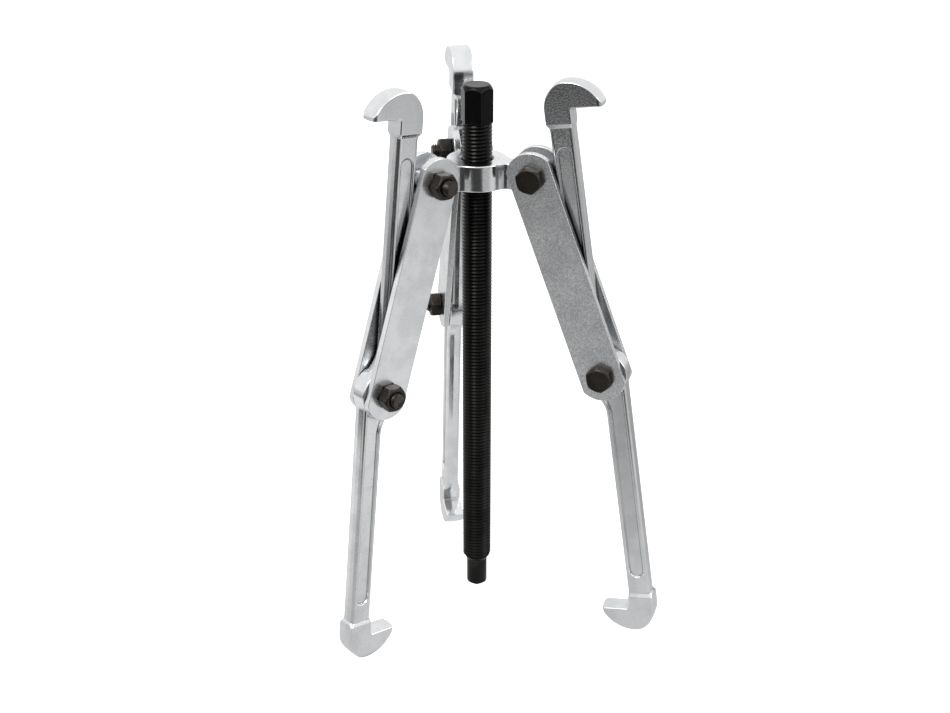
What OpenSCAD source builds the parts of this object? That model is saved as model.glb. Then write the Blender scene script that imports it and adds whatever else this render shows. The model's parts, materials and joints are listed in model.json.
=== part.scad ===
// Three-arm reversible gear puller.
//
// A forcing screw runs down through a three-lugged yoke. On each lug hangs an arm: two flat link
// plates bolted on either side of the lug, with a forged double-ended jaw bolted between their
// lower ends. Each jaw is the same turned end for end, so that it grips outwards when reversed.
//
// +Z is up along the forcing screw and +X is to the right. The origin is on the screw's axis,
// where the cylindrical nose of the pressure point meets its cone. An arm's own frame
// has +X outwards, +Y counterclockwise seen from above and +Z up.

/* [Forcing screw] */
// Outside diameter of the screw's thread
screw_d = 20; // [18:0.5:20]
// Height of the arm pivots above the origin, at rest
pivot_z = 317; // [300:1:330]
// Height of the hexagon's underside above the arm pivots, at rest
hex_rise = 31.5; // [30:0.5:50]
// Length of the driving hexagon
hex_l = 24.5; // [18:0.5:30]
// Size across the flats of the driving hexagon
hex_af = 19; // [17:1:22]
// Turn of the driving hexagon about the screw's axis, at rest
hex_turn = 33.5; // [0:0.5:60]
// Diameter of the flat top left by the hexagon's chamfer
hex_top_d = 16.4; // [14:0.2:17]
// Height of the chamfer at the hexagon's corners
hex_chamfer_h = 3.3; // [1:0.1:4]
// Height of the chamfer below the last thread
thread_chamfer_h = 4; // [2:0.5:6]

/* [Pressure point] */
// Diameter of the pressure point
nose_d = 14.5; // [12:0.5:16]
// Length of the pressure point's cylinder
nose_l = 19.4; // [10:0.2:24]
// Height of the cone below the pressure point's cylinder
nose_cone_h = 5.5; // [3:0.1:8]
// Diameter of the stem that the screw turns on
stem_d = 8; // [6:0.5:9]
// Length of the stem
stem_l = 12; // [10:0.5:20]
// Wire diameter of the snap ring on the stem
snap_wire_d = 1.2; // [0.8:0.1:1.4]

/* [Yoke] */
// Diameter of the yoke's boss
boss_d = 40; // [36:1:40]
// Height of the yoke
yoke_h = 17.5; // [15:0.5:22]
// Height of the yoke's top above the arm pivots
yoke_rise = 7.2; // [6:0.1:8.5]
// Thickness of a lug, and of a jaw's eye, between the link plates
lug_t = 12; // [10:0.5:12]
// Radius of a lug's nose about its pivot
lug_nose_r = 11; // [9:0.5:11]
// Radius of the fillets between the boss and the lugs
yoke_fillet_r = 5; // [2:0.5:5]
// Distance of the arm pivots from the screw's axis
pivot_r = 40; // [39:0.5:45]

/* [Links] */
// Distance between a link's two holes
link_l = 142; // [120:1:145]
// Width of a link
link_w = 30; // [26:1:32]
// Thickness of a link
link_t = 4.5; // [3:0.5:6]
// Radius of a link's ends about its holes
link_end_r = 17; // [16.5:0.1:18]
// Lean of the links from vertical at rest: back, left and right arm
link_lean = [20.3, 18.4, 20.9]; // [18:0.1:25]

/* [Jaws] */
// Distance from a jaw's pivot to the grip face of either hook
grip_l = 182; // [175:1:190]
// Reach of a hook's tip beyond the jaw's pivot
hook_reach = 21.3; // [18:0.1:22]
// Height of a hook below its grip face
hook_h = 17.6; // [16:0.1:19]
// Height of a hook's blunt tip
tip_h = 2.6; // [1.5:0.1:4]
// Radius of a hook's slope, from its crown to its tip
slope_r = 24.5; // [23:0.5:28]
// Width of a jaw's leg
leg_w = 16.6; // [14:0.1:17]
// Distance of a leg's hook side beyond the jaw's pivot
leg_set = 1; // [0:0.1:1.5]
// Thickness of a jaw's leg
leg_t = 11; // [9:0.5:11]
// Radius of a jaw's eye
eye_r = 17; // [16.5:0.1:18]
// Thickness of a hook's head
head_t = 14; // [13:0.5:16]
// Distance of a head's back from the jaw's pivot
head_w = 16.9; // [16.5:0.1:18]
// Radius of a head's rounded back
back_r = 20; // [19:0.1:22]
// Radius of a head's crown
crown_r = 11.5; // [9:0.5:13]
// Corner radius of a hook's tip, seen from its grip side
tip_corner_r = 2; // [1:0.5:6]
// Width of the channels in a leg's faces
channel_w = 9.8; // [6:0.1:11]
// Depth of each channel
channel_d = 1.6; // [0.8:0.1:2.5]
// Lean of the jaws from vertical at rest: back, left and right arm
jaw_lean = [7.4, 6, 8.7]; // [5:0.1:9.2]

/* [Bolts and nuts] */
// Diameter of the pivot bolts
bolt_d = 10; // [8:0.5:10]
// Size across the flats of the bolt heads and nuts
fastener_af = 16; // [15:0.5:18]
// Height of a bolt head
bolt_head_h = 6.4; // [5:0.1:8]
// Height of a nut
nut_h = 8.4; // [6:0.1:10]
// Length of an upper bolt that stands out of its nut
upper_proud = 4.7; // [2:0.1:8]
// Length of a lower bolt that stands out of its nut
lower_proud = 2.3; // [2:0.1:8]
// Turn of the upper bolt heads and nuts about their bolts: back, left and right arm
upper_hex_turn = [20, 45, 35]; // [0:1:60]
// Turn of the lower bolt heads and nuts about their bolts: back, left and right arm
lower_hex_turn = [20, 45, 38]; // [0:1:60]

/* [Clearances] */
// Radial clearance of a running fit
running_gap = 0.05; // [0.01:0.01:0.1]
// Gap between faces that slide past each other
side_gap = 0.05; // [0.02:0.01:0.2]
// Radial clearance of the bolts in the links' drilled holes
drill_gap = 0.1; // [0.05:0.05:0.3]

/* [Hidden] */
$fn = 96;

BACK = 0;
LEFT = 1;
RIGHT = 2;
HEAD_SIDE = -1;
NUT_SIDE = 1;
CUT = 1;                                    // overrun of a cutting shape past the face it cuts

zinc = "#c9ccd1";
black_oxide = "#1c1c1f";
phosphate = "#3a322c";

arm_azimuth = [90, 210, 330];               // back, left and right arm
link_offset = lug_t / 2 + side_gap;         // from an arm's middle plane to a link's inner face
stack_half = link_offset + link_t;          // from an arm's middle plane to a link's outer face
shank_top = pivot_z + hex_rise;
socket_d = stem_d + 2 * running_gap;
socket_l = stem_l + CUT;
snap_z = nose_l + stem_l * 0.6;             // height of the snap ring's middle
snap_groove_h = snap_wire_d + 0.3;
bore_chamfer = 1.2;
fastener_face_d = 0.95 * fastener_af;       // round face left by the chamfer of a head or nut
fastener_chamfer_h = 0.1 * fastener_af;     // height of that chamfer at the corners
head_l = 12.3;                              // from the start of a head to its grip face
head_shoulder = 2.9;                        // length over which a leg thickens into a head
eye_fillet_r = 20;
rib_w = (leg_w - channel_w) / 2;            // width of a leg's face on either side of its channel
eye_land = 0.5;                             // width of the land around an eye beside a channel
channel_end = grip_l - 25;                  // end of a channel's round end, from the pivot
leg_middle = leg_w / 2 - leg_set;
back_centre = [head_w - back_r, 0.5 - grip_l];
slope_centre = [sqrt(slope_r ^ 2 - (slope_r - hook_h + tip_h) ^ 2) - hook_reach,
                slope_r - hook_h - grip_l];

// Geometry helpers ---------------------------------------------------------------------------

// The lower of the two points that lie r1 from c1 and r2 from c2
function meeting(c1, r1, c2, r2) =
    let (d = norm(c2 - c1), along = (r1 ^ 2 - r2 ^ 2 + d ^ 2) / (2 * d), u = (c2 - c1) / d)
    c1 + along * u + sqrt(r1 ^ 2 - along ^ 2) * [-u[1], u[0]] * (u[0] > 0 ? -1 : 1);

// The point on the line from a through b that lies well beyond b
function beyond(a, b) = a + (b - a) / norm(b - a) * 2 * slope_r;

// Where to put a fillet's centre along a line that lies at the given distance from the middle
// of a round of radius r, so that the fillet touches both
function fillet_station(r, line, fillet) = sqrt((r + fillet) ^ 2 - (line + fillet) ^ 2);

// Places children in an arm's frame, at its upper pivot
module at_upper_pivot(arm) {
    rotate([0, 0, arm_azimuth[arm]]) translate([pivot_r, 0, pivot_z]) children();
}

// Places children at an arm's upper pivot, with -Z along the links
module along_links(arm) {
    at_upper_pivot(arm) rotate([0, -link_lean[arm], 0]) children();
}

// Places children at an arm's lower pivot, with -Z along the jaw's lower leg
module along_jaw(arm) {
    along_links(arm) translate([0, 0, -link_l])
        rotate([0, link_lean[arm] - jaw_lean[arm], 0]) children();
}

// Stands a flat outline up in an arm's plane, with the given thickness about that plane
module stand_up(thickness) {
    rotate([90, 0, 0]) linear_extrude(thickness, center = true) children();
}

// A round hole or pin across an arm, centred on the arm's plane
module across(d, length) {
    rotate([90, 0, 0]) cylinder(d = d, h = length, center = true);
}

// A hexagonal prism with a corner at +X, its rim chamfered to a circle at the far end
module chamfered_hexagon(af, height, face_d, chamfer_h) {
    corner_d = af / cos(30);
    intersection() {
        cylinder(d = corner_d, h = height, $fn = 6);
        union() {
            cylinder(d = corner_d, h = height - chamfer_h);
            translate([0, 0, height - chamfer_h])
                cylinder(d1 = corner_d, d2 = face_d, h = chamfer_h);
        }
    }
}

// Centre screw -------------------------------------------------------------------------------

// The threaded shank, with its hexagon on top and the pressure point's socket in its end
module forcing_screw() color(black_oxide) difference() {
    union() {
        translate([0, 0, nose_l + side_gap])
            cylinder(d1 = nose_d, d2 = screw_d, h = thread_chamfer_h);
        translate([0, 0, nose_l + side_gap + thread_chamfer_h])
            cylinder(d = screw_d, h = shank_top - nose_l - side_gap - thread_chamfer_h);
        translate([0, 0, shank_top]) rotate([0, 0, hex_turn])
            chamfered_hexagon(hex_af, hex_l, hex_top_d, hex_chamfer_h);
    }
    translate([0, 0, nose_l - CUT]) cylinder(d = socket_d, h = socket_l + CUT);
    translate([0, 0, snap_z]) cylinder(d = stem_d + 2 * snap_wire_d, h = snap_groove_h, center = true);
}

// The nose that presses on the shaft, and stays still while the screw turns on its stem
module pressure_point() color(black_oxide) {
    translate([0, 0, -nose_cone_h]) cylinder(d1 = 0, d2 = nose_d, h = nose_cone_h);
    cylinder(d = nose_d, h = nose_l);
    difference() {
        cylinder(d = stem_d, h = nose_l + stem_l);
        translate([0, 0, snap_z]) rotate_extrude()
            translate([stem_d / 2 - snap_wire_d * 0.6, -snap_groove_h / 2])
                square([snap_wire_d, snap_groove_h]);
    }
}

// The open wire ring that keeps the pressure point in the screw
module point_snap_ring() color("silver")
    translate([0, 0, snap_z]) rotate_extrude(angle = 330)
        translate([stem_d / 2 + running_gap, 0]) circle(d = snap_wire_d, $fn = 24);

// Yoke ---------------------------------------------------------------------------------------

// One lug seen from above, with its fillets to the boss
module lug_outline() {
    side = lug_t / 2;
    station = fillet_station(boss_d / 2, side, yoke_fillet_r);
    translate([0, -side]) square([pivot_r + lug_nose_r, lug_t]);
    for (turned = [0, 1]) mirror([0, turned]) difference() {
        polygon([[0, 0], [station, 0], [station, side + yoke_fillet_r]]);
        translate([station, side + yoke_fillet_r]) circle(r = yoke_fillet_r);
    }
}

// The yoke's height and each lug's round nose, seen from the side of an arm
module lug_side() {
    translate([-pivot_r, yoke_rise - yoke_h]) square([pivot_r, yoke_h]);
    circle(r = lug_nose_r);
}

// The cone that chamfers the bore's edge in a face at z = 0
module countersink() {
    translate([0, 0, -bore_chamfer])
        cylinder(d1 = screw_d, d2 = screw_d + 2 * (bore_chamfer + CUT), h = bore_chamfer + CUT);
}

// The body that the screw runs in and the arms hang from
module yoke() color(zinc) difference() {
    translate([0, 0, pivot_z + yoke_rise - yoke_h]) {
        cylinder(d = boss_d, h = yoke_h);
        for (azimuth = arm_azimuth) rotate([0, 0, azimuth]) intersection() {
            linear_extrude(yoke_h) lug_outline();
            translate([pivot_r, 0, yoke_h - yoke_rise]) stand_up(boss_d) lug_side();
        }
    }
    translate([0, 0, pivot_z]) {
        cylinder(d = screw_d + 2 * running_gap, h = 3 * yoke_h, center = true);
        translate([0, 0, yoke_rise]) countersink();
        translate([0, 0, yoke_rise - yoke_h]) mirror([0, 0, 1]) countersink();
    }
    for (arm = [BACK, LEFT, RIGHT]) at_upper_pivot(arm)
        across(bolt_d + 2 * running_gap, lug_t + 2 * CUT);
}

// Links --------------------------------------------------------------------------------------

// A link's outline: a flat bar whose rounded ends are wider than the bar and are cut back to it
module link_outline() {
    intersection() {
        translate([-link_w / 2, -link_l - link_end_r]) square([link_w, link_l + 2 * link_end_r]);
        union() {
            translate([-link_w / 2, -link_l]) square([link_w, link_l]);
            circle(r = link_end_r);
            translate([0, -link_l]) circle(r = link_end_r);
        }
    }
}

// One of the two flat plates that tie a jaw to its lug
module link(arm, side) color(zinc) along_links(arm)
    translate([0, side * (link_offset + link_t / 2), 0]) stand_up(link_t) difference() {
        link_outline();
        circle(d = bolt_d + 2 * drill_gap);
        translate([0, -link_l]) circle(d = bolt_d + 2 * drill_gap);
    }

// Jaws ---------------------------------------------------------------------------------------

// The web that rounds a leg's edge into the eye; the edge lies at the given distance from the
// pivot, and a negative distance is on the hook's side
module eye_fillet(edge, side) {
    line = side * edge;
    station = fillet_station(eye_r, line, eye_fillet_r);
    centre = [side * (line + eye_fillet_r), -station];
    difference() {
        polygon([[0, 0], [leg_middle, -station], [edge, -station], centre]);
        translate(centre) circle(r = eye_fillet_r);
    }
}

// The lower leg's outline, from the pivot to the head
module leg_outline() {
    translate([-leg_set, -grip_l]) square([leg_w, grip_l]);
    eye_fillet(-leg_set, -1);
    eye_fillet(leg_w - leg_set, 1);
}

// The lower head's outline, all below the flat grip face: a rounded back runs over the crown
// into the hook's slope, which goes on past the tip
module head_outline() {
    far = 2 * slope_r;
    crown_centre = meeting(back_centre, back_r - crown_r, slope_centre, slope_r - crown_r);
    difference() {
        union() {
            intersection() {
                translate(back_centre) circle(r = back_r);
                polygon([back_centre, beyond(back_centre, crown_centre),
                         back_centre + [far, -far], back_centre + [far, 0]]);
            }
            intersection() {
                translate(slope_centre) circle(r = slope_r);
                polygon([slope_centre, beyond(slope_centre, crown_centre),
                         [-far, slope_centre[1] - far], [-far, slope_centre[1]]]);
            }
            translate(crown_centre) circle(r = crown_r);
            translate([-leg_set, back_centre[1]])
                square([head_w + leg_set, head_l - grip_l - back_centre[1]]);
        }
        translate([-far - leg_set, -grip_l]) square([far, far]);
    }
}

// The head seen along the arm: the leg thickens over a sloping shoulder
module head_edge() {
    top = head_l - grip_l;
    polygon([[-leg_t / 2, top], [leg_t / 2, top], [head_t / 2, top - head_shoulder],
             [head_t / 2, -2 * grip_l], [-head_t / 2, -2 * grip_l], [-head_t / 2, top - head_shoulder]]);
}

// The head seen from its grip side: the tip is cut off blunt, and its corners are rounded
module head_plan() {
    inner = tip_corner_r - hook_reach;
    translate([inner, -head_t / 2]) square([head_w - inner, head_t]);
    translate([-hook_reach, tip_corner_r - head_t / 2])
        square([2 * tip_corner_r, head_t - 2 * tip_corner_r]);
    for (side = [-1, 1]) translate([inner, side * (head_t / 2 - tip_corner_r)]) circle(r = tip_corner_r);
}

// The outline of a leg's channel: it starts beside the round eye, where it widens with the leg,
// and has a round end short of the head
module channel_outline() {
    station = fillet_station(eye_r, leg_set, eye_fillet_r);
    start = rib_w - leg_set;
    centre = [-leg_set - eye_fillet_r, -station];
    difference() {
        union() {
            translate([start, channel_w / 2 - channel_end])
                square([channel_w, channel_end - channel_w / 2]);
            translate([leg_middle, channel_w / 2 - channel_end]) circle(d = channel_w);
            polygon([[0, 0], [leg_middle, -station], [start, -station], centre]);
        }
        translate(centre) circle(r = eye_fillet_r + rib_w);
        circle(r = eye_r + eye_land);
    }
}

// One leg with its head and its channels, hanging down from the pivot
module jaw_half() {
    difference() {
        stand_up(leg_t) leg_outline();
        for (face = [-1, 1]) translate([0, face * leg_t / 2, 0])
            stand_up(2 * channel_d) channel_outline();
    }
    intersection() {
        stand_up(head_t) head_outline();
        rotate([90, 0, 90]) linear_extrude(4 * head_w, center = true) head_edge();
        translate([0, 0, -2 * grip_l]) linear_extrude(2 * grip_l) head_plan();
    }
}

// A forged jaw: the lower half hooks inwards, and the upper half is the same turned half round
module jaw(arm) color(zinc) along_jaw(arm) difference() {
    union() {
        jaw_half();
        rotate([0, 180, 0]) jaw_half();
        across(2 * eye_r, lug_t);
    }
    across(bolt_d + 2 * running_gap, head_t);
}

// Bolts and nuts -----------------------------------------------------------------------------

// A pivot bolt across an arm: the head bears on one link, and the shank ends outside the nut
module bolt(turn, proud) color(phosphate) {
    shank_l = 2 * stack_half + nut_h + proud;
    end_chamfer = 1;
    translate([0, -stack_half, 0]) rotate([90, turn, 0])
        chamfered_hexagon(fastener_af, bolt_head_h, fastener_face_d, fastener_chamfer_h);
    translate([0, -stack_half, 0]) rotate([-90, 0, 0]) {
        cylinder(d = bolt_d, h = shank_l - end_chamfer);
        translate([0, 0, shank_l - end_chamfer])
            cylinder(d1 = bolt_d, d2 = bolt_d - 2 * end_chamfer, h = end_chamfer);
    }
}

// A nut on the other side of the arm
module nut(turn) color(phosphate) translate([0, stack_half, 0]) rotate([-90, -turn, 0])
    difference() {
        chamfered_hexagon(fastener_af, nut_h, fastener_face_d, fastener_chamfer_h);
        translate([0, 0, -CUT]) cylinder(d = bolt_d + 2 * running_gap, h = nut_h + 2 * CUT);
    }

module upper_bolt(arm) along_links(arm) bolt(upper_hex_turn[arm], upper_proud);
module upper_nut(arm) along_links(arm) nut(upper_hex_turn[arm]);
module lower_bolt(arm) along_links(arm) translate([0, 0, -link_l])
    bolt(lower_hex_turn[arm], lower_proud);
module lower_nut(arm) along_links(arm) translate([0, 0, -link_l]) nut(lower_hex_turn[arm]);

yoke();
forcing_screw();
pressure_point();
point_snap_ring();

link(BACK, HEAD_SIDE);  // back_link_head_side
link(BACK, NUT_SIDE);  // back_link_nut_side
jaw(BACK);  // back_jaw
upper_bolt(BACK);  // back_upper_bolt
upper_nut(BACK);  // back_upper_nut
lower_bolt(BACK);  // back_lower_bolt
lower_nut(BACK);  // back_lower_nut

link(LEFT, HEAD_SIDE);  // left_link_head_side
link(LEFT, NUT_SIDE);  // left_link_nut_side
jaw(LEFT);  // left_jaw
upper_bolt(LEFT);  // left_upper_bolt
upper_nut(LEFT);  // left_upper_nut
lower_bolt(LEFT);  // left_lower_bolt
lower_nut(LEFT);  // left_lower_nut

link(RIGHT, HEAD_SIDE);  // right_link_head_side
link(RIGHT, NUT_SIDE);  // right_link_nut_side
jaw(RIGHT);  // right_jaw
upper_bolt(RIGHT);  // right_upper_bolt
upper_nut(RIGHT);  // right_upper_nut
lower_bolt(RIGHT);  // right_lower_bolt
lower_nut(RIGHT);  // right_lower_nut
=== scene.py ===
"""Looks of the three-arm gear puller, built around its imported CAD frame.

Every piece is built in the local frame of the CAD part that it stands for, in millimetres, and
is then placed by the record's own joints and mounts. An arm's local frame has +X outwards, +Y
along the pivot bolts towards their nuts, and +Z up along the link or jaw.
"""

import json
import math

import bpy
import numpy as np
from mathutils import Matrix, Vector
from mathutils.geometry import tessellate_polygon


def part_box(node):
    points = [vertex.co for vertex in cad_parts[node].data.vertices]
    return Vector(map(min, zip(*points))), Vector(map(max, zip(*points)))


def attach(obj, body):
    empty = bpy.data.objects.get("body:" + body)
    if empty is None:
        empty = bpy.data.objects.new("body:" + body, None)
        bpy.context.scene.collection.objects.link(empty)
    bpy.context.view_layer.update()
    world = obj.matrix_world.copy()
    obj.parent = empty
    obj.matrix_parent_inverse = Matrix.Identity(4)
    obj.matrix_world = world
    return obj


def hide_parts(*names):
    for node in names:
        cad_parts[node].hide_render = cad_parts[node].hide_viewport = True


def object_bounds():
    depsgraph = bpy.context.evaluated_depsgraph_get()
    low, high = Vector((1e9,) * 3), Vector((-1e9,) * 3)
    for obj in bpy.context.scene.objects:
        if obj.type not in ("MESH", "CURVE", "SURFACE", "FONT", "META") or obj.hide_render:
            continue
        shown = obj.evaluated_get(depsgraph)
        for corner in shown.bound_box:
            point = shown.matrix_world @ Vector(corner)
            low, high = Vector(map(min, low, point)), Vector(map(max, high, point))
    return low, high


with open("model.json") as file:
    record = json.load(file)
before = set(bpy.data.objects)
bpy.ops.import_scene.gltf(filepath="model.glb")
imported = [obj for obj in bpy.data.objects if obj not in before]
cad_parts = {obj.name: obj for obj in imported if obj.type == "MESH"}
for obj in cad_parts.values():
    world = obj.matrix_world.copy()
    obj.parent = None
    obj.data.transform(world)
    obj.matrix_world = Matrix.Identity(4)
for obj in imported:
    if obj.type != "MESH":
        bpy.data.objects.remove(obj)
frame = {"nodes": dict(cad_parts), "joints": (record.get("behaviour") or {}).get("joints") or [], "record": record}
cad_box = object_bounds()

MM = 0.001
ARMS = ("back", "left", "right")
joints = {joint["name"]: joint for joint in frame["joints"]}
mounts = {mount["name"]: mount for mount in frame["record"]["mounts"]}


def size_mm(node):
    """Lowest and highest corner of a CAD node, in millimetres."""
    low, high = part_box(node)
    return np.array(low) / MM, np.array(high) / MM


def apart(a, b):
    """Distance between two points of the record, in millimetres."""
    return (Vector(a) - Vector(b)).length / MM


# Sizes in millimetres. Those that other parts fit come from the frame; the rest only shape looks.
# A chamfer is given by its height.
LINK_LENGTH = apart(joints["back_link_swing"]["pos_m"], joints["back_jaw_swing"]["pos_m"])
PIVOT_Z = joints["back_link_swing"]["pos_m"][2] / MM
PIVOT_R = Vector(joints["back_link_swing"]["pos_m"][:2]).length / MM
YOKE_LOW, YOKE_HIGH = size_mm("yoke")[0][2], size_mm("yoke")[1][2]
SCREW_LOW, SCREW_HIGH = size_mm("forcing_screw")[0][2], size_mm("forcing_screw")[1][2]
POINT_LOW, POINT_HIGH = size_mm("pressure_point")[0][2], size_mm("pressure_point")[1][2]
NOSE_R = size_mm("pressure_point")[1][0]
NOSE_RIM = mounts["screw_nose"]["pos_m"][2] / MM
GRIP = Vector(mounts["back_lower_grip"]["pos_m"]) - Vector(joints["back_jaw_swing"]["pos_m"])
GRIP = abs(GRIP.dot(Vector(mounts["back_lower_grip"]["axis"]))) / MM

SCREW_R = 10.0
PITCH = 2.5                # M20 coarse thread
THREAD_CHAMFER = 4.0
HEX_LENGTH = 24.5
HEX_FLATS = 19.0
HEX_TURN = 33.5            # degrees
HEX_TOP = 16.4             # width of the flat on top of the screw's hexagon
HEX_CHAMFER = 3.3
STEM_R = 4.0
STEM_CHAMFER = 0.4
NOSE_ROUND = 0.5           # rounding of the pressure point's tip and rims
SLACK = 0.05               # clearance around the screw and bolts, and above the pressure point
BOLT_R = 5.0
BOLT_PITCH = 1.5           # M10 coarse thread
BOLT_CHAMFER = 1.0
THREAD_DEPTH = 0.6134      # depth of an ISO external thread, in pitches
FASTENER_FLATS = 16.0
FASTENER_TOP = 15.2        # width of the flat on a bolt head or nut
FASTENER_CHAMFER = 1.6
BOLT_HEAD = 6.4
NUT_HEIGHT = 8.4
NUT_SINK = 0.65            # countersink of a nut's bore
HEX_EDGE = 0.25            # rounding of a hexagon's upright edges
HEX_RIM = 0.2              # rounding of a hexagon's other edges
PROUD = {"upper": 4.7, "lower": 2.3}    # a bolt's end beyond its nut
FASTENER_TURN = {"upper": (20, 45, 35), "lower": (20, 45, 38)}    # degrees, by arm
STACK_HALF = 10.55         # from an arm's middle plane to a link's outer face
LINK_WIDTH = 30.0
LINK_THICKNESS = 4.5
LINK_END = 17.0
LINK_EDGE = 0.45           # rounding of a link plate's edges
EYE_R = 17.0
EYE_HALF = 6.0             # half of an eye's or a lug's thickness
EYE_FILLET = 20.0
LEG_WIDTH = 16.6
LEG_SET = 1.0              # from the pivot to a leg's hook side
LEG_HALF = 5.5             # half of a leg's thickness
LEG_EDGE = 2.2             # rounding of a leg's edges
HEAD_HALF = 7.0            # half of a head's thickness
HEAD_START = 12.3          # from the start of a head to its grip face
HEAD_SHOULDER = 2.9        # height over which a leg thickens into its head
HEAD_WIDTH = 16.9          # from the pivot to a head's back
HEAD_EDGE = 0.85           # rounding of a head's edges
DRAFT = 0.11               # inset of a leg's sides for each millimetre from its parting line
GRIP_ROOT = 1.2            # rounding between a grip face and its leg
BACK_R = 20.0              # radius of a hook's back
CROWN_R = 11.5
SLOPE_R = 24.5             # radius of a hook's slope, from its crown to its tip
HOOK_HEIGHT = 17.6         # from a grip face to the top of its hook
TIP_HEIGHT = 2.6
TIP_REACH = 21.3           # from the pivot to a hook's tip
TIP_CORNER = 3.0           # rounding of a tip's upright edges
CHANNEL_DEPTH = 1.6
CHANNEL_RIB = 3.1          # leg face on either side of a channel
CHANNEL_STOP = 25.0        # from a channel's round end to the grip face
CHANNEL_DRAFT = 0.5        # run of a channel's wall for each millimetre of depth
BOSS_R = 20.0
LUG_NOSE = 11.0            # radius of a lug's end
LUG_FILLET = 4.0           # its foot stays clear of the links' reach
COUNTERSINK = 1.2
SOFT_EDGE = 0.8            # rounding of the yoke's and the eyes' edges
FORGE_GRID = 0.55          # spacing of the forgings' meshes
HEX_GRID = 0.4             # spacing of the hexagons' meshes


# Places -------------------------------------------------------------------------------------

def frame_matrix(origin, y_axis, z_axis):
    """The matrix of a local frame in millimetres whose +Z and +Y point as given."""
    z_axis = Vector(z_axis).normalized()
    y_axis = Vector(y_axis).normalized()
    turn = Matrix((y_axis.cross(z_axis), y_axis, z_axis)).transposed().to_4x4()
    return Matrix.Translation(Vector(origin)) @ turn @ Matrix.Scale(MM, 4)


def link_matrix(arm):
    """A link pair's frame, at the upper pivot with -Z towards the lower one."""
    upper = Vector(joints[f"{arm}_link_swing"]["pos_m"])
    lower = Vector(joints[f"{arm}_jaw_swing"]["pos_m"])
    return frame_matrix(upper, joints[f"{arm}_jaw_swing"]["axis"], upper - lower)


def jaw_matrix(arm):
    """A jaw's frame, at its pivot with -Z along its lower leg."""
    swing = joints[f"{arm}_jaw_swing"]
    return frame_matrix(swing["pos_m"], swing["axis"], mounts[f"{arm}_lower_grip"]["axis"])


def axis_matrix(height=0.0):
    """The screw's frame, raised to the given height."""
    return Matrix.Translation((0, 0, height * MM)) @ Matrix.Scale(MM, 4)


# Distance functions -------------------------------------------------------------------------

def polygon_distance(x, z, points):
    """Signed distance from a closed outline, negative inside."""
    x, z = np.broadcast_arrays(x, z)
    nearest = np.full(x.shape, np.inf)
    inside = np.ones(x.shape)
    for (ax, az), (bx, bz) in zip(points, points[-1:] + points[:-1]):
        ex, ez, wx, wz = bx - ax, bz - az, x - ax, z - az
        share = np.clip((wx * ex + wz * ez) / (ex * ex + ez * ez), 0, 1)
        nearest = np.minimum(nearest, (wx - ex * share) ** 2 + (wz - ez * share) ** 2)
        above, below, left = z >= az, z < bz, ex * wz > ez * wx
        crosses = (above & below & left) | ~(above | below | left)
        inside = np.where(crosses, -inside, inside)
    return inside * np.sqrt(nearest)


def plate(flat, across, half, edge):
    """A flat distance made into a plate of the given half thickness, its edges rounded."""
    side, face = flat + edge, np.abs(across) - half + edge
    outside = np.hypot(np.maximum(side, 0), np.maximum(face, 0))
    return np.minimum(np.maximum(side, face), 0) + outside - edge


def blend_join(a, b, radius):
    """The union of two distances, with a fillet where they meet."""
    return np.maximum(radius, np.minimum(a, b)) - np.hypot(
        np.maximum(radius - a, 0), np.maximum(radius - b, 0))


def blend_meet(a, b, radius):
    """The intersection of two distances, with a rounded edge where they meet."""
    return np.minimum(-radius, np.maximum(a, b)) + np.hypot(
        np.maximum(radius + a, 0), np.maximum(radius + b, 0))


def cone_distance(rho, z, top, top_r, height, foot_r):
    """Signed distance from a cone that widens from top_r at the top to foot_r, height lower."""
    run = foot_r - top_r
    return ((rho - top_r) * height + (z - top) * run) / math.hypot(height, run)


def arc(centre, radius, start, end, steps=12):
    """Points along an arc, with angles in degrees from straight down, positive towards +X."""
    turns = np.radians(np.linspace(start, end, steps))
    return [(centre[0] + radius * math.sin(a), centre[1] - radius * math.cos(a)) for a in turns]


def direction(point):
    """A direction's angle in degrees from straight down, positive towards +X."""
    return math.degrees(math.atan2(point[0], -point[1]))


def eye_web(edge, side):
    """The centre of the fillet between an eye and a leg's edge, and its arc from the leg up."""
    line = side * edge
    station = math.sqrt((EYE_R + EYE_FILLET) ** 2 - (line + EYE_FILLET) ** 2)
    centre = (side * (line + EYE_FILLET), -station)
    leg_turn = -90 * side
    eye_turn = leg_turn - side * math.degrees(math.atan2(station, abs(centre[0])))
    return centre, arc(centre, EYE_FILLET, leg_turn, eye_turn)


def crown_arcs(back, slope):
    """The arcs of a hook's back, crown and slope, which run into each other."""
    away = (slope[0] - back[0], slope[1] - back[1])
    apart_by = math.hypot(*away)
    reach = BACK_R - CROWN_R
    along = (reach ** 2 - (SLOPE_R - CROWN_R) ** 2 + apart_by ** 2) / (2 * apart_by)
    turn = math.atan2(away[1], away[0]) - math.acos(along / reach)
    crown = (back[0] + reach * math.cos(turn), back[1] + reach * math.sin(turn))
    turns = [direction((crown[0] - x, crown[1] - z)) for x, z in (back, slope)]
    end = direction((-TIP_REACH - slope[0], -GRIP - TIP_HEIGHT - slope[1]))
    return (arc(back, BACK_R, 90, turns[0], 20) + arc(crown, CROWN_R, *turns, 12)
            + arc(slope, SLOPE_R, turns[1], end, 20))


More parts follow.
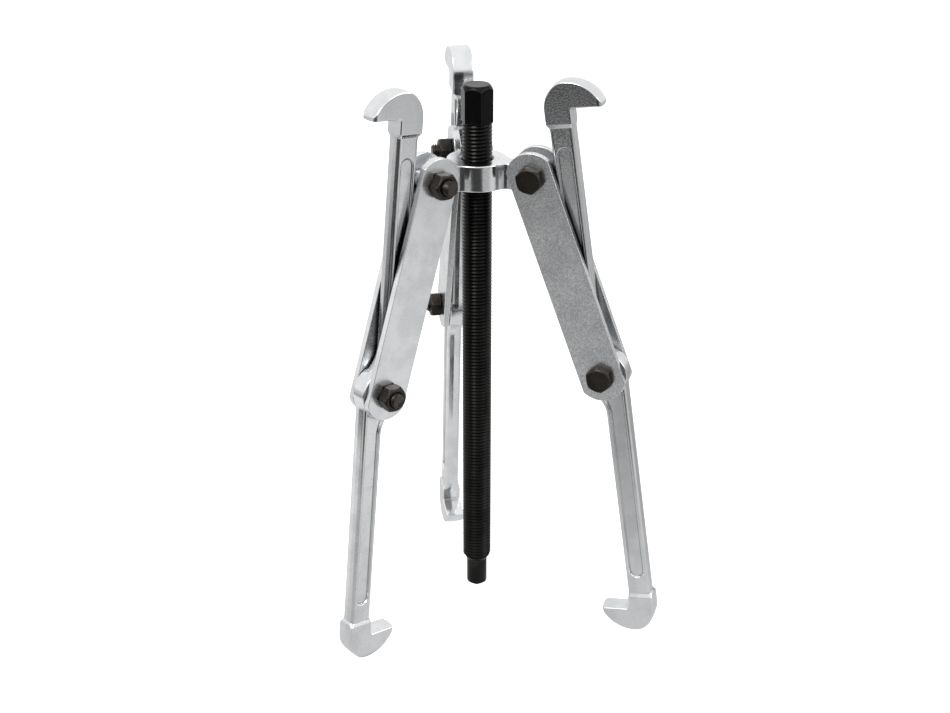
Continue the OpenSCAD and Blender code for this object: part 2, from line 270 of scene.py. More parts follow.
def jaw_outline():
    """The lower half of a jaw seen from the side, from the pivot round its hook and back. The leg
    widens into the head in an S-shaped step."""
    back = (HEAD_WIDTH - BACK_R, 0.5 - GRIP)
    rise = SLOPE_R - HOOK_HEIGHT
    slope = (math.sqrt(SLOPE_R ** 2 - (rise + TIP_HEIGHT) ** 2) - TIP_REACH, rise - GRIP)
    start = HEAD_START - GRIP
    edge = LEG_WIDTH - LEG_SET
    return ([(0, 0)] + eye_web(edge, 1)[1][::-1]
            + [(edge, start + 2.2), (edge + 0.2, start + 1.0),
               (HEAD_WIDTH - 0.2, start - 1.0), (HEAD_WIDTH, start - 2.2)]
            + crown_arcs(back, slope) + [(-TIP_REACH, -GRIP)]
            + arc((-LEG_SET - GRIP_ROOT, GRIP_ROOT - GRIP), GRIP_ROOT, 0, 90, 6)
            + eye_web(-LEG_SET, -1)[1])


def channel_outline():
    """The outline of the channel in a leg's face, from the eye to its round end."""
    half = LEG_WIDTH / 2 - CHANNEL_RIB
    middle = LEG_WIDTH / 2 - LEG_SET
    end = arc((middle, half + CHANNEL_STOP - GRIP), half, 90, -90, 20)
    centre = eye_web(-LEG_SET, -1)[0]
    web = arc(centre, EYE_FILLET + CHANNEL_RIB, 90, 90 + 50)
    return [(middle + half, 0)] + end + web


JAW_OUTLINE = jaw_outline()
CHANNEL_OUTLINE = channel_outline()


def jaw_distance(x, y, z):
    """A forged jaw: its upper half is the lower half turned half round about the pivot."""
    x, z = np.broadcast_arrays(x, z)
    swap = np.where(z > 0, -1.0, 1.0)
    x, z = x * swap, z * swap
    rho = np.hypot(x, z)
    head = np.clip((HEAD_START - GRIP - z) / HEAD_SHOULDER, 0, 1)
    edge = LEG_EDGE + (HEAD_EDGE - LEG_EDGE) * head
    half = LEG_HALF + (HEAD_HALF - LEG_HALF) * head
    draft = DRAFT * (1 - 0.6 * head) * (np.sqrt(y * y + 0.04) - 0.2)
    body = plate(polygon_distance(x, z, JAW_OUTLINE) + draft, y, half, edge)
    body = np.maximum(body, plate(-x - TIP_REACH, y, HEAD_HALF, TIP_CORNER))
    depth = LEG_HALF - np.abs(y)
    wall = np.maximum(polygon_distance(x, z, CHANNEL_OUTLINE), EYE_R + 0.3 - rho)
    wall = (wall + CHANNEL_DRAFT * depth) / math.hypot(1, CHANNEL_DRAFT)
    channel = blend_meet(wall, depth - CHANNEL_DEPTH, 0.5)
    body = blend_meet(body, -channel, 0.3)
    eye = plate(rho - EYE_R, y, EYE_HALF, SOFT_EDGE)
    return np.maximum(blend_join(body, eye, 0.3), BOLT_R + SLACK - rho)


def yoke_distance(x, y, z):
    """The forged yoke, about the centre of the screw at the height of the pivots."""
    low, high = YOKE_LOW - PIVOT_Z, YOKE_HIGH - PIVOT_Z
    rho = np.hypot(x, y)
    third = 2 * math.pi / 3
    turn = np.arctan2(y, x) - math.pi / 2
    turn -= third * np.round(turn / third)
    along, aside = rho * np.cos(turn), rho * np.sin(turn)
    plan = blend_join(rho - BOSS_R, np.maximum(np.abs(aside) - EYE_HALF, -along), LUG_FILLET)
    body = plate(plan, z - (high + low) / 2, (high - low) / 2, SOFT_EDGE)
    nose = np.hypot(np.maximum(along - PIVOT_R, 0), z) - LUG_NOSE
    body = blend_meet(body, nose, SOFT_EDGE)
    sink = math.sqrt(0.5)
    upper = (SCREW_R + z - high + COUNTERSINK - rho) * sink
    lower = (SCREW_R - z + low + COUNTERSINK - rho) * sink
    bore = np.maximum(np.maximum(SCREW_R + SLACK - rho, upper), lower)
    body = blend_meet(body, bore, 0.15)
    return np.maximum(body, BOLT_R + SLACK - np.hypot(along - PIVOT_R, z))


def hexagon_distance(x, y, z, flats, height, face_r, chamfer):
    """A hexagonal prism from z = 0 up, with a corner at +X and its top's rim chamfered."""
    half = flats / 2
    lean = math.radians(30)
    slant = np.abs(x) * math.cos(lean) + np.abs(y) * math.sin(lean) - half
    prism = blend_meet(slant, np.abs(y) - half, HEX_EDGE)
    rim = cone_distance(np.hypot(x, y), z, height, face_r, chamfer, half / math.cos(lean))
    ends = np.abs(z - height / 2) - height / 2
    return blend_meet(blend_meet(prism, rim, HEX_RIM), ends, HEX_RIM)


def drive_distance(x, y, z):
    """The forcing screw's drive hexagon."""
    return hexagon_distance(x, y, z, HEX_FLATS, HEX_LENGTH, HEX_TOP / 2, HEX_CHAMFER)


def bolt_head_distance(x, y, z):
    """A pivot bolt's head, its washer side at z = 0."""
    return hexagon_distance(x, y, z, FASTENER_FLATS, BOLT_HEAD, FASTENER_TOP / 2, FASTENER_CHAMFER)


def nut_distance(x, y, z):
    """A nut: like a head, but chamfered at both ends, bored and countersunk."""
    sizes = (FASTENER_FLATS, NUT_HEIGHT, FASTENER_TOP / 2, FASTENER_CHAMFER)
    rho = np.hypot(x, y)
    body = np.maximum(hexagon_distance(x, y, z, *sizes),
                      hexagon_distance(x, y, NUT_HEIGHT - z, *sizes))
    bore_r = BOLT_R + SLACK
    sink = (bore_r + NUT_SINK + z - NUT_HEIGHT - rho) * math.sqrt(0.5)
    return blend_meet(body, np.maximum(bore_r - rho, sink), 0.1)


# Shells: points, faces and normals, in millimetres ------------------------------------------

def slopes(distance, points, reach=0.05):
    """The gradient of a distance at each point."""
    columns = []
    for axis in range(3):
        step = np.zeros(3)
        step[axis] = reach
        columns.append((distance(*(points + step).T) - distance(*(points - step).T)) / (2 * reach))
    return np.stack(columns, 1)


def surface_shell(distance, low, high, step):
    """A distance's zero surface by surface nets, with its points then drawn onto the surface."""
    axes = [np.arange(a - 1.5 * step, b + 2.5 * step, step) for a, b in zip(low, high)]
    values = distance(*np.meshgrid(*axes, indexing="ij", sparse=True))
    inside = values < 0
    count = np.array(values.shape) - 1
    total, hits = np.zeros((*count, 3)), np.zeros(count)
    crossings = []
    for axis in range(3):
        lower = tuple(slice(0, -1) if a == axis else slice(None) for a in range(3))
        upper = tuple(slice(1, None) if a == axis else slice(None) for a in range(3))
        cross = inside[lower] != inside[upper]
        drop = np.where(cross, values[lower] - values[upper], 1)
        share = np.where(cross, values[lower] / drop, 0)
        crossings.append((cross, inside[lower]))
        others = [a for a in range(3) if a != axis]
        for da in (0, 1):
            for db in (0, 1):
                part = [slice(None)] * 3
                for a, d in zip(others, (da, db)):
                    part[a] = slice(d, count[a] + d)
                crossed = cross[tuple(part)]
                total[..., axis] += np.where(crossed, share[tuple(part)], 0)
                total[..., others[0]] += np.where(crossed, da, 0)
                total[..., others[1]] += np.where(crossed, db, 0)
                hits += crossed
    points = total[hits > 0] / hits[hits > 0][:, None] + np.argwhere(hits > 0)
    points = np.array([a[0] for a in axes]) + points * step
    number = np.full(count, -1)
    number[hits > 0] = np.arange(len(points))
    quads = []
    for axis, (cross, starts_inside) in enumerate(crossings):
        b, c = (axis + 1) % 3, (axis + 2) % 3
        at = np.argwhere(cross)
        corners = []
        for db, dc in ((-1, -1), (0, -1), (0, 0), (-1, 0)):
            cell = at.copy()
            cell[:, b] += db
            cell[:, c] += dc
            corners.append(number[tuple(cell.T)])
        face = np.stack(corners, 1)
        quads.append(np.where(starts_inside[cross][:, None], face, face[:, ::-1]))
    for _ in range(4):
        slope = slopes(distance, points)
        length = np.maximum((slope ** 2).sum(1), 0.2)
        move = (distance(*points.T) / length)[:, None] * slope
        points = points - np.clip(move, -step / 2, step / 2)
    normals = slopes(distance, points)
    normals /= np.maximum(np.linalg.norm(normals, axis=1), 1e-9)[:, None]
    return points, np.concatenate(quads).tolist(), normals


def lathe_shell(profile, steps=96):
    """A profile of (radius, height) points turned about the axis; a point at radius 0 is a pole."""
    points, rings = [], []
    for radius, height in profile:
        if radius < 1e-6:
            rings.append([len(points)] * steps)
            points.append((0.0, 0.0, height))
        else:
            rings.append(list(range(len(points), len(points) + steps)))
            for a in np.arange(steps) * 2 * math.pi / steps:
                points.append((radius * math.cos(a), radius * math.sin(a), height))
    faces = []
    for low, high in zip(rings, rings[1:]):
        for i in range(steps):
            j = (i + 1) % steps
            face = list(dict.fromkeys((low[i], low[j], high[j], high[i])))
            if len(face) > 2:
                faces.append(face)
    return np.array(points), faces, np.zeros((len(points), 3))


def thread_shell(radius, pitch, low, high, envelope, steps=72):
    """A right-hand thread between two heights, its radius nowhere above the envelope's."""
    flank = THREAD_DEPTH * math.tan(math.radians(30))
    stations = [(-0.0625, 0), (-0.03, -0.012), (0.03, -0.012), (0.0625, 0),
                (0.0625 + flank, THREAD_DEPTH), (0.5, THREAD_DEPTH + 0.02),
                (0.9375 - flank, THREAD_DEPTH)]
    phases = np.array([s[0] for s in stations] + [stations[0][0] + 1])
    depths = np.array([s[1] for s in stations] + [stations[0][1]])
    turns = range(int(low / pitch) - 2, int(high / pitch) + 2)
    rows = np.array([turn + phase for turn in turns for phase in phases[:-1]])
    angles = np.arange(steps + 1) * 2 * math.pi / steps
    heights = np.clip(pitch * (rows[:, None] + angles[None] / (2 * math.pi)), low, high)
    phase = (heights / pitch - angles / (2 * math.pi) - phases[0]) % 1 + phases[0]
    reach = radius - pitch * np.maximum(np.interp(phase, phases, depths), 0)
    reach = np.minimum(reach, envelope(heights))
    points = np.stack([reach * np.cos(angles), reach * np.sin(angles), heights], -1).reshape(-1, 3)
    faces = []
    across = steps + 1
    for row in range(len(rows) - 1):
        for column in range(steps):
            corners = ((row, column), (row, column + 1), (row + 1, column + 1), (row + 1, column))
            level = [heights[c] for c in corners]
            if max(level) > low + 1e-9 and min(level) < high - 1e-9:
                faces.append([r * across + c for r, c in corners])
    caps = []
    for height, row in ((low, 0), (high, len(rows) - 1)):
        caps.append(len(points))
        points = np.vstack([points, [(0, 0, height)]])
        ring = [row * across + c for c in range(across)]
        pairs = zip(ring, ring[1:]) if height == high else zip(ring[1:], ring)
        faces += [[a, b, caps[-1]] for a, b in pairs]
    return points, faces, np.zeros((len(points), 3))


def plate_shell(outline, hole_r, holes, half, edge):
    """A flat bar in the XZ plane with rounded edges and round holes."""
    def ring(points, normals, inset, y):
        return [(px - nx * inset, y, pz - nz * inset)
                for (px, pz), (nx, nz) in zip(points, normals)]

    loops = [(outline, 1)] + [([(cx + hole_r * math.cos(a), cz + hole_r * math.sin(a))
                               for a in np.arange(48) * math.pi / 24], -1) for cx, cz in holes]
    turns = np.radians(np.linspace(0, 90, 4))
    levels = [(edge * (1 - math.sin(t)), edge * (1 - math.cos(t)) - half,
               math.sin(t), -math.cos(t)) for t in turns]
    levels += [(inset, -y, out, -across) for inset, y, out, across in reversed(levels)]
    points, normals, faces, face_loops = [], [], [], ([], [])
    for loop, sign in loops:
        loop = np.array(loop)
        step = np.roll(loop, -1, 0) - np.roll(loop, 1, 0)
        out = np.stack([step[:, 1], -step[:, 0]], 1)
        out *= sign / np.linalg.norm(out, axis=1)[:, None]
        first, n = len(points), len(loop)
        for inset, y, outward, across in levels:
            points += ring(loop, out, inset, y)
            normals += [(nx * outward, across, nz * outward) for nx, nz in out]
        for k in range(len(levels) - 1):
            for i in range(n):
                j = (i + 1) % n
                low, high = first + k * n, first + (k + 1) * n
                face = [low + i, low + j, high + j, high + i]
                faces.append(face[::-1] if sign > 0 else face)
        face_loops[0].append(list(range(first, first + n)))
        face_loops[1].append(list(range(first + (len(levels) - 1) * n, first + len(levels) * n)))
    for side, loops_here in enumerate(face_loops):
        order = [i for loop in loops_here for i in loop]
        for face in tessellate_polygon([[Vector(points[i]) for i in loop] for loop in loops_here]):
            face = [order[i] for i in face]
            a, b, c = (Vector(points[i]) for i in face)
            upward = (b - a).cross(c - a).y > 0
            faces.append(face if upward == (side == 1) else face[::-1])
    return np.array(points), faces, np.array(normals)


def moved_shell(shell, matrix):
    """A shell turned and moved by a rigid matrix."""
    points, faces, normals = shell
    turn = np.array(matrix.to_3x3())
    return points @ turn.T + np.array(matrix.translation), faces, normals @ turn.T


def joined_shells(*shells):
    """Several shells as one."""
    points, faces, normals, start = [], [], [], 0
    for shell in shells:
        points.append(shell[0])
        faces += [[i + start for i in face] for face in shell[1]]
        normals.append(shell[2])
        start += len(shell[0])
    return np.concatenate(points), faces, np.concatenate(normals)


def make_piece(name, shell, matrix, body, stands_for, material):
    """A shell as a mesh piece, put in place and made to ride on its body."""
    points, faces, normals = shell
    mesh = bpy.data.meshes.new(name)
    mesh.from_pydata(points.tolist(), [], faces)
    local = mesh.attributes.new("local", "FLOAT_VECTOR", "POINT")
    local.data.foreach_set("vector", np.asarray(points, np.float32).ravel())
    facing = mesh.attributes.new("facing", "FLOAT", "POINT")
    facing.data.foreach_set("value", np.abs(normals[:, 1]).astype(np.float32))
    mesh.transform(matrix)
    mesh.update()
    mesh.shade_smooth()
    mesh.set_sharp_from_angle(angle=math.radians(28))
    turn = np.array(matrix.to_3x3().normalized())
    mesh.normals_split_custom_set_from_vertices((normals @ turn.T).tolist())
    mesh.materials.append(material)
    piece = bpy.data.objects.new(name, mesh)
    bpy.context.scene.collection.objects.link(piece)
    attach(piece, body)
    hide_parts(*stands_for)
    return piece


# Finishes -----------------------------------------------------------------------------------

class Graph:
    """A material's or the world's node graph, built one node at a time."""

    def __init__(self, owner):
        owner.use_nodes = True
        self.tree = owner.node_tree
        self.tree.nodes.clear()

    def add(self, kind, settings=None, **inputs):
        """Adds a node. An input is named by its label, or by an underscore and its number."""
        node = self.tree.nodes.new(kind)
        for key, value in (settings or {}).items():
            setattr(node, key, value)
        for key, value in inputs.items():
            key = int(key[1:]) if key[1:].isdigit() else key.replace("_", " ")
            self.feed(node.inputs[key], value)
        return node

    def feed(self, socket, value):
        """Sets an input to a value, or links it to another node's output."""
        if isinstance(value, bpy.types.NodeSocket):
            self.tree.links.new(value, socket)
        else:
            socket.default_value = value

    def math(self, operation, a, b=0.0):
        """The result of a math node."""
        return self.add("ShaderNodeMath", {"operation": operation}, _0=a, _1=b).outputs[0]

    def noise(self, place, scale, detail=3.0, rough=0.5):
        """Noise about 0.5 whose features are about 1 / scale millimetres across."""
        return self.add("ShaderNodeTexNoise", None, Vector=place, Scale=scale, Detail=detail,
                        Roughness=rough).outputs["Fac"]

    def ramp(self, value, low, high, start=0.0, end=1.0):
        """The value's range from low to high, smoothly mapped to start to end."""
        return self.add("ShaderNodeMapRange", {"interpolation_type": "SMOOTHSTEP"}, _0=value,
                        _1=low, _2=high, _3=start, _4=end).outputs[0]

    def mix(self, share, a, b):
        """Colour a turned into colour b by the share."""
        node = self.tree.nodes.new("ShaderNodeMix")
        node.data_type = "RGBA"
        for index, value in ((0, share), (6, a), (7, b)):
            self.feed(node.inputs[index], value)
        return node.outputs[2]


def grey(value, warmth=0.0):
    """A near-grey colour, warmer above 0 and cooler below."""
    return (value * (1 + warmth), value, value * (1 - warmth), 1)


def darker(colour, share):
    """A colour with the given share of its brightness."""
    return (*(value * share for value in colour[:3]), 1)


def metal(name, body, stain, worn_and_highlight, rough, grain, depth, seed, mottle=0.1, painted_shade=0.0,
          mottle_from=None, from_local=True):
    """A worked metal. The body colour breaks up towards the stain in clouds and, by mottle, to a
    darker shade in specks. Convex edges, found by pointiness, turn towards worn_and_highlight, which
    is partly rubbed wear and partly a painted highlight. Concave creases and deep gaps, found by
    pointiness and ambient occlusion, darken by painted_shade towards a near-black copy of the body;
    this is painted shade. Roughness lies in the pair rough, and a grain of so many bumps per
    millimetre stands depth millimetres high. Given a local height mottle_from, specks and grain keep
    to the faces across Y and fade in upwards from there."""
    material = bpy.data.materials.new(name)
    g = Graph(material)
    if from_local:
        local = g.add("ShaderNodeAttribute", {"attribute_name": "local"}).outputs["Vector"]
    else:
        local = g.add("ShaderNodeTexCoord").outputs["Object"]
        local = g.add("ShaderNodeVectorMath", {"operation": "SCALE"}, _0=local,
                      Scale=1 / MM).outputs[0]
    place = g.add("ShaderNodeVectorMath", {"operation": "ADD"}, _0=local,
                  _1=(seed * 37.0, seed * 11.0, seed * 23.0)).outputs[0]
    cloud = g.noise(place, 0.055, 4.0, 0.6)
    fine = g.noise(place, grain, 2.0, 0.55)
    coarse = g.noise(place, grain * 0.4, 3.0, 0.55)
    point = g.add("ShaderNodeNewGeometry").outputs["Pointiness"]
    edge = g.ramp(point, 0.51, 0.56)
    colour = g.mix(g.ramp(cloud, 0.4, 0.62), body, stain)
    specks = g.ramp(coarse, 0.38, 0.62, 0, mottle)
    strength = 1.0
    if mottle_from is not None:
        height = g.add("ShaderNodeSeparateXYZ", None, _0=local).outputs["Z"]
        facing = g.add("ShaderNodeAttribute", {"attribute_name": "facing"}).outputs["Fac"]
        share = g.math("MULTIPLY", g.ramp(height, mottle_from, mottle_from + 80, 0.1, 1),
                       g.ramp(facing, 0.93, 0.99))
        specks = g.math("MULTIPLY", specks, share)
        strength = g.ramp(share, 0, 1, 0.35, 1)
    colour = g.mix(specks, colour, darker(stain, 0.35))
    # Painted highlight and wear: convex edges, found by pointiness, are lightened towards the edge colour.
    colour = g.mix(g.math("MULTIPLY", edge, 0.4), colour, worn_and_highlight)
    # Painted shade: creases and deep gaps, found by pointiness and ambient occlusion, are darkened towards a
    # near-black copy of the body colour.
    if painted_shade:
        open_air = g.add("ShaderNodeAmbientOcclusion", {"samples": 8},
                         Distance=9 * MM).outputs["AO"]
        shade_mask = g.math("MAXIMUM", g.ramp(open_air, 0.75, 0.2), g.ramp(point, 0.488, 0.45))
        colour = g.mix(g.math("MULTIPLY", shade_mask, painted_shade), colour, darker(body, 0.07))
    roughness = g.ramp(g.math("ADD", g.math("MULTIPLY", cloud, 0.7), g.math("MULTIPLY", fine, 0.3)),
                       0.3, 0.7, rough[0], rough[1])
    roughness = g.math("SUBTRACT", roughness, g.math("MULTIPLY", edge, 0.06))
    height = g.math("ADD", g.math("MULTIPLY", fine, 0.5), g.math("MULTIPLY", coarse, 0.5))
    bump = g.add("ShaderNodeBump", None, Strength=strength, Distance=depth * MM, Height=height)
    surface = g.add("ShaderNodeBsdfPrincipled", None, Base_Color=colour, Metallic=1.0,
                    Roughness=roughness, Normal=bump.outputs[0])
    g.add("ShaderNodeOutputMaterial", None, Surface=surface.outputs[0])
    return material


# Bright plating, and a darker copy of it for the right jaw: body, stain and edge colours. The edge colour is
# partly rubbed wear and partly a painted highlight.
ZINC = (grey(0.84, -0.012), grey(0.76, -0.02), grey(0.98))
DARKER_ZINC = (grey(0.72, -0.012), grey(0.65, -0.02), grey(0.96))
# The finishes' painted shade share darkens their creases and the gaps between parts.
jaw_metal = {
    "back": metal("zinc_jaw_back", *ZINC, (0.13, 0.26), 2.4, 0.025, 1, mottle=0.25, painted_shade=0.85,
                  mottle_from=-400),
    "left": metal("zinc_jaw_left", *ZINC, (0.13, 0.26), 2.4, 0.025, 2, mottle=0.1, painted_shade=0.85),
    "right": metal("zinc_jaw_right", *DARKER_ZINC, (0.14, 0.27), 2.4, 0.09, 3, mottle=0.65,
                   painted_shade=0.85, mottle_from=100),
}
link_metal = {
    "back": metal("zinc_link_back", *ZINC, (0.2, 0.32), 2.4, 0.03, 4, mottle=0.2, painted_shade=0.8),
    "left": metal("zinc_link_left", *ZINC, (0.2, 0.32), 2.4, 0.025, 5, mottle=0.08, painted_shade=0.8),
    "right": metal("zinc_link_right", *ZINC, (0.24, 0.36), 2.6, 0.09, 6, mottle=0.45, painted_shade=0.8),
}
yoke_metal = metal("zinc_yoke", *ZINC, (0.13, 0.25), 2.0, 0.02, 7, mottle=0.12, painted_shade=0.8)
# The thread's painted shade darkens its roots and flanks almost to black.
thread_metal = metal("black_thread", grey(0.012, 0.04), grey(0.008, 0.04), grey(0.04, 0.04),
                     (0.24, 0.36), 2.0, 0.008, 8, painted_shade=0.95)
screw_metal = metal("black_screw", grey(0.02), grey(0.012), grey(0.08), (0.2, 0.34), 2.0, 0.008, 12)
point_metal = metal("black_point", grey(0.026, 0.04), grey(0.015, 0.05), grey(0.09),
                    (0.24, 0.36), 2.0, 0.006, 9)
bolt_metal = metal("phosphate", grey(0.05, 0.14), grey(0.022, 0.1), grey(0.13, 0.06),
                   (0.3, 0.5), 2.5, 0.014, 10, mottle=0.3)
wire_metal = metal("spring_wire", grey(0.5), grey(0.38), grey(0.7), (0.2, 0.3), 3.0, 0.003, 11,
                   from_local=False)


# The forcing screw, pressure point and yoke -------------------------------------------------

def screw_envelope(height):
    """The radius left by the chamfer below the last thread."""
    return NOSE_R + np.clip((height - SCREW_LOW) / THREAD_CHAMFER, 0, 1) * (SCREW_R - NOSE_R)


shank_top = SCREW_HIGH - HEX_LENGTH
make_piece("screw_thread", thread_shell(SCREW_R, PITCH, SCREW_LOW, shank_top, screw_envelope),
           axis_matrix(), "screw", ["forcing_screw"], thread_metal)
hexagon = surface_shell(drive_distance, (-11, -11, 0), (11, 11, HEX_LENGTH), HEX_GRID)
hexagon = moved_shell(hexagon, Matrix.Rotation(math.radians(HEX_TURN), 4, "Z"))
make_piece("screw_hexagon", hexagon, axis_matrix(shank_top), "screw", ["forcing_screw"],
           screw_metal)


def nose_outline():
    """The pressure point's outline from its tip up, as (radius, height) points."""
    lean = math.atan2(NOSE_RIM - POINT_LOW, NOSE_R)
    lift = NOSE_ROUND / math.cos(lean)
    rim_r = NOSE_R - NOSE_ROUND
    top = SCREW_LOW - SLACK
    cone = math.degrees(lean)
    return (arc((0, POINT_LOW + lift), NOSE_ROUND, 0, cone, 5)
            + arc((rim_r, NOSE_RIM + lift - NOSE_ROUND * math.tan(lean)), NOSE_ROUND, cone, 90, 5)
            + arc((rim_r, top - NOSE_ROUND), NOSE_ROUND, 90, 180, 5)
            + [(STEM_R, top), (STEM_R, POINT_HIGH - STEM_CHAMFER),
               (STEM_R - STEM_CHAMFER, POINT_HIGH), (0, POINT_HIGH)])


make_piece("pressure_point_turned", lathe_shell(nose_outline()), axis_matrix(), "point",
           ["pressure_point"], point_metal)

ring = frame["nodes"]["point_snap_ring"]
ring.data.materials.clear()
ring.data.materials.append(wire_metal)

reach = PIVOT_R + LUG_NOSE
yoke = surface_shell(yoke_distance, (-reach, -reach, YOKE_LOW - PIVOT_Z),
                     (reach, reach, YOKE_HIGH - PIVOT_Z), FORGE_GRID)
make_piece("yoke_forging", yoke, axis_matrix(PIVOT_Z), "yoke", ["yoke"], yoke_metal)


# The arms -----------------------------------------------------------------------------------

def link_outline():
    """A link's outline from above its upper hole round, clockwise seen from its nuts."""
    half = LINK_WIDTH / 2
    corner = math.degrees(math.asin(half / LINK_END))
    lower = arc((0, -LINK_LENGTH), LINK_END, -corner, corner, 32)
    upper = arc((0, 0), LINK_END, 180 - corner, 180 + corner, 32)
    return rounded(lower + upper, 0.6)


def rounded(points, radius):
    """A closed outline whose clear corners are rounded by a small arc."""
    out = []
    for before, here, after in zip(points[-1:] + points[:-1], points, points[1:] + points[:1]):
        a, b = Vector(before) - Vector(here), Vector(after) - Vector(here)
        turn = math.pi - a.angle(b)
        if turn < math.radians(12):
            out.append(here)
            continue
        cut = radius * math.tan(turn / 2)
        start, end = Vector(here) + a.normalized() * cut, Vector(here) + b.normalized() * cut
        for share in np.linspace(0, 1, 5):
            middle = start.lerp(Vector(here), share).lerp(Vector(here).lerp(end, share), share)
            out.append(tuple(middle))
    return out


jaw_shell = surface_shell(jaw_distance, (-TIP_REACH, -HEAD_HALF, -GRIP - HOOK_HEIGHT),
                          (TIP_REACH, HEAD_HALF, GRIP + HOOK_HEIGHT), FORGE_GRID)
link_shell = plate_shell(link_outline(), BOLT_R + 0.1, [(0, 0), (0, -LINK_LENGTH)],
                         LINK_THICKNESS / 2, LINK_EDGE)
head_shell = surface_shell(bolt_head_distance, (-9.3, -9.3, 0), (9.3, 9.3, BOLT_HEAD), HEX_GRID)
nut_shell = surface_shell(nut_distance, (-9.3, -9.3, 0), (9.3, 9.3, NUT_HEIGHT), HEX_GRID)


def bolt_shell(turn, proud):
    """A pivot bolt along +Y about an arm's middle plane."""
    end = STACK_HALF + NUT_HEIGHT + proud
    start = STACK_HALF - 4

    def envelope(height):
        return BOLT_R - np.clip(height - end + BOLT_CHAMFER, 0, BOLT_CHAMFER)

    thread = thread_shell(BOLT_R, BOLT_PITCH, start, end, envelope, 48)
    shank = lathe_shell([(0, -STACK_HALF), (BOLT_R, -STACK_HALF), (BOLT_R, start), (0, start)], 48)
    upright = Matrix.Rotation(math.radians(-90), 4, "X")
    head = (Matrix.Translation((0, -STACK_HALF, 0)) @ Matrix.Rotation(math.radians(turn), 4, "Y")
            @ Matrix.Rotation(math.radians(90), 4, "X"))
    return joined_shells(moved_shell(head_shell, head),
                         moved_shell(joined_shells(thread, shank), upright))


def turned_nut(turn):
    """A nut on the outside of an arm's nut-side link."""
    return moved_shell(nut_shell, Matrix.Translation((0, STACK_HALF, 0))
                       @ Matrix.Rotation(math.radians(-turn), 4, "Y")
                       @ Matrix.Rotation(math.radians(-90), 4, "X"))


for index, arm in enumerate(ARMS):
    links = link_matrix(arm)
    make_piece(f"{arm}_jaw_forging", jaw_shell, jaw_matrix(arm), f"{arm}_jaw", [f"{arm}_jaw"],
               jaw_metal[arm])
    for side, sign in (("head_side", -1), ("nut_side", 1)):
        offset = sign * (STACK_HALF - LINK_THICKNESS / 2)
        shell = moved_shell(link_shell, Matrix.Translation((0, offset, 0)))
        make_piece(f"{arm}_plate_{side}", shell, links, f"{arm}_links", [f"{arm}_link_{side}"],
                   link_metal[arm])
    for level, height in (("upper", 0), ("lower", -LINK_LENGTH)):
        turn = FASTENER_TURN[level][index]
        place = links @ Matrix.Translation((0, 0, height))
        make_piece(f"{arm}_{level}_hex_bolt", bolt_shell(turn, PROUD[level]), place,
                   f"{arm}_links", [f"{arm}_{level}_bolt"], bolt_metal)
        make_piece(f"{arm}_{level}_hex_nut", turned_nut(turn), place,
                   f"{arm}_links", [f"{arm}_{level}_nut"], bolt_metal)


# Stage, light and camera --------------------------------------------------------------------

# Brightness of the floor in reflections, in metres: its front half by x + y, its far half by x
FRONT_GLOW = ((-2.0, 0.07), (-1.7, 0.14), (-1.5, 0.52), (-1.25, 0.56), (-0.9, 0.58), (-0.65, 0.52),
              (-0.4, 0.47), (-0.22, 0.54), (-0.08, 0.74), (0.1, 0.8), (0.38, 0.76), (0.52, 0.56),
              (1.0, 0.46))
FAR_GLOW = ((-1.5, 0.64), (-0.9, 0.62), (-0.6, 0.78), (-0.45, 0.9), (-0.2, 0.84), (0.0, 0.72),
            (0.2, 0.56), (0.4, 0.44), (0.8, 0.46), (1.0, 0.58), (1.5, 0.6))

# Two dark cards that draw the plating's edges. Each lies where x - y, y and x are all past their
# first value, and is fully dark from their second one on.
CARDS = (((0.23, 0.31), (-0.35, -0.45), (0.21, 0.11)),
         ((-0.1, -0.18), (0.24, 0.1), (-0.5, -0.66)))


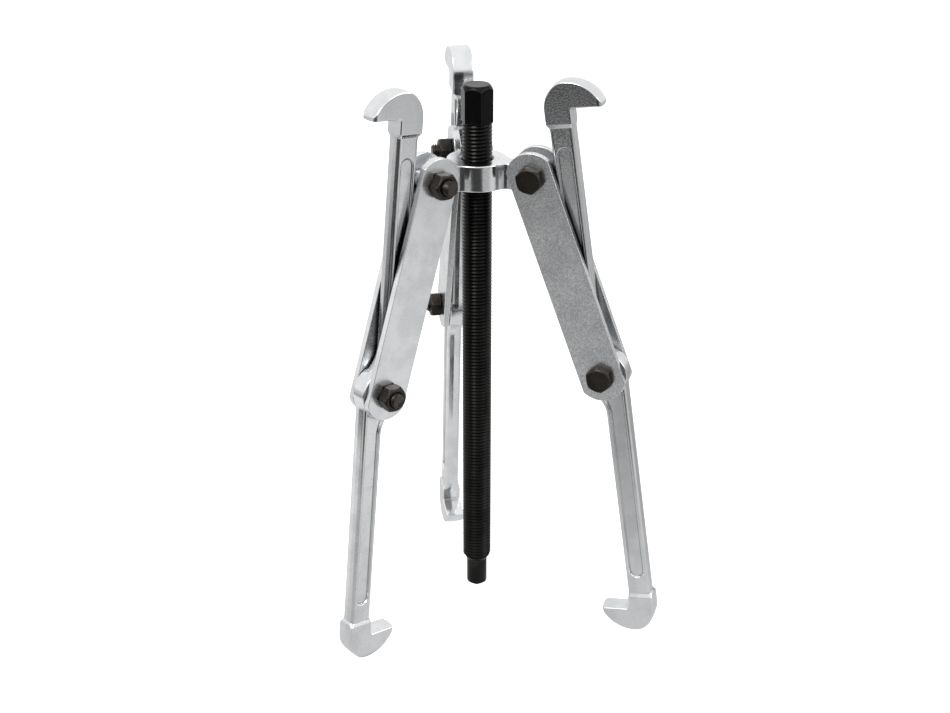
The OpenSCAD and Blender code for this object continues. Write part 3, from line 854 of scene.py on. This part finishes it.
def make_floor(height):
    """A white floor to the camera. To reflections it is a sweep whose brightness changes across
    it, with the two dark cards on it."""
    corners = [(x * 4, y * 4, height) for x, y in ((-1, -1), (1, -1), (1, 1), (-1, 1))]
    mesh = bpy.data.meshes.new("floor")
    mesh.from_pydata(corners, [], [(0, 1, 2, 3)])
    floor = bpy.data.objects.new("floor", mesh)
    mesh.materials.append(bpy.data.materials.new("white_sweep"))
    g = Graph(mesh.materials[0])
    position = g.add("ShaderNodeNewGeometry").outputs["Position"]
    split = g.add("ShaderNodeSeparateXYZ", None, _0=position).outputs
    diagonal = g.math("ADD", split["X"], split["Y"])
    glows = []
    for place, levels in ((diagonal, FRONT_GLOW), (split["X"], FAR_GLOW)):
        low, high = levels[0][0], levels[-1][0]
        share = g.add("ShaderNodeMapRange", None, _0=place, _1=low, _2=high).outputs[0]
        ramp = g.add("ShaderNodeValToRGB", None, _0=share)
        stops = ramp.color_ramp.elements
        while len(stops) < len(levels):
            stops.new(0.5)
        for stop, (at, value) in zip(stops, levels):
            stop.position, stop.color = (at - low) / (high - low), grey(value)
        glows.append(ramp.outputs[0])
    glow = g.mix(g.ramp(split["Y"], -0.12, 0.04), *glows)
    places = (g.math("SUBTRACT", split["X"], split["Y"]), split["Y"], split["X"])
    for card in CARDS:
        dark = 1.0
        for place, (clear, full) in zip(places, card):
            dark = g.math("MULTIPLY", g.ramp(place, clear, full), dark)
        glow = g.mix(dark, glow, grey(0.04))
    sweep = g.add("ShaderNodeEmission", None, Color=glow)
    paper = g.add("ShaderNodeBsdfDiffuse", None, Color=grey(0.5))
    white = g.add("ShaderNodeEmission", None, Color=grey(0.93))
    seen = g.add("ShaderNodeAddShader", None, _0=paper.outputs[0], _1=white.outputs[0])
    ray = g.add("ShaderNodeLightPath").outputs["Is Camera Ray"]
    shown = g.add("ShaderNodeMixShader", None, _0=ray, _1=sweep.outputs[0], _2=seen.outputs[0])
    g.add("ShaderNodeOutputMaterial", None, Surface=shown.outputs[0])
    bpy.context.scene.collection.objects.link(floor)


def make_light(name, place, target, size, power):
    """A round lamp aimed at a target."""
    light = bpy.data.lights.new(name, "AREA")
    light.shape, light.size, light.energy = "DISK", size, power
    lamp = bpy.data.objects.new(name, light)
    lamp.location = place
    lamp.rotation_euler = (Vector(target) - Vector(place)).to_track_quat("-Z", "Y").to_euler()
    bpy.context.scene.collection.objects.link(lamp)


def make_world():
    """White to the camera. To reflections it is a white tent, darker at the camera's side."""
    world = bpy.data.worlds.new("tent")
    bpy.context.scene.world = world
    g = Graph(world)
    heading = g.add("ShaderNodeTexCoord").outputs["Generated"]
    split = g.add("ShaderNodeSeparateXYZ", None, _0=heading).outputs
    sides = g.ramp(split["Y"], -0.75, 0.25, 0.22, 1.0)
    glow = g.math("MAXIMUM", sides, g.ramp(split["Z"], 0.02, 0.28, 0.2, 1.0))
    tent = g.add("ShaderNodeBackground", None, Color=grey(1.0), Strength=glow)
    white = g.add("ShaderNodeBackground", None, Color=grey(1.0), Strength=1.0)
    ray = g.add("ShaderNodeLightPath").outputs["Is Camera Ray"]
    shown = g.add("ShaderNodeMixShader", None, _0=ray, _1=tent.outputs[0], _2=white.outputs[0])
    g.add("ShaderNodeOutputWorld", None, Surface=shown.outputs[0])


make_floor(float(cad_box[0].z))
make_world()
make_light("key", (-0.9, -0.9, 1.6), (0, 0, 0.15), 0.9, 14)
make_light("fill", (1.3, -0.6, 0.9), (0, 0, 0.15), 1.0, 6)

camera = bpy.data.objects.new("camera", bpy.data.cameras.new("camera"))
camera.data.lens = 58.67
camera.location = (-0.1772, -0.9506, 0.6345)
camera.rotation_euler = [math.radians(a) for a in (64.88, 0.0, -10.48)]
bpy.context.scene.collection.objects.link(camera)
bpy.context.scene.camera = camera
bpy.context.scene.view_settings.view_transform = "Standard"
